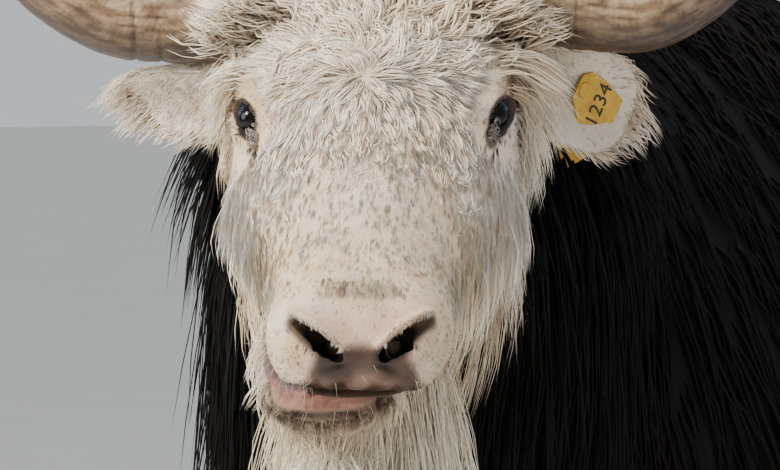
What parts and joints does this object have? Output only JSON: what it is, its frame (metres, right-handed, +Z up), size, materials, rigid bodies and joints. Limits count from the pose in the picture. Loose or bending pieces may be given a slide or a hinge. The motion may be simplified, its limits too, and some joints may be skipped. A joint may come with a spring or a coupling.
{
  "type": "yak",
  "caption": "Life-size standing yak with a white head, curved horns, a tagged ear, a long black coat hanging in a skirt, and cloven hooves on the floor.",
  "frame": {"origin": "on the floor under the middle of the animal's bounding box", "axes": "the body lies along Y and faces -Y, its left side is +X, and +Z is up"},
  "size_m": [0.8146, 2.1044, 1.5093],
  "materials": {
    "white_coat": "cream-white hair, short on the face and woolly on the forehead",
    "black_coat": "long, coarse black hair with a soft sheen",
    "horn": "tan-brown horn with lengthwise flakes and cracks across",
    "hoof": "dark, ringed hoof horn",
    "eye": "wet and glossy, almost black",
    "teeth": "worn, yellowish enamel",
    "ear_tag": "flexible yellow plastic with plain black digits"
  },
  "bodies": {
    "root": {"head": "white_coat", "jaw": "white_coat", "teeth": "teeth", "eye_left": "eye", "eye_right": "eye", "horn_left": "horn", "horn_right": "horn", "ear_left": "white_coat", "ear_right": "white_coat", "tag_front": "ear_tag", "tag_back": "ear_tag", "neck": "black_coat", "trunk_left": "black_coat", "trunk_right": "black_coat", "tail": "black_coat", "leg_front_left": "black_coat", "leg_front_right": "black_coat", "leg_hind_left": "black_coat", "leg_hind_right": "black_coat", "hoof_front_left_inner": "hoof", "hoof_front_left_outer": "hoof", "hoof_front_right_inner": "hoof", "hoof_front_right_outer": "hoof", "hoof_hind_left_inner": "hoof", "hoof_hind_left_outer": "hoof", "hoof_hind_right_inner": "hoof", "hoof_hind_right_outer": "hoof"}
  },
  "joints": []
}
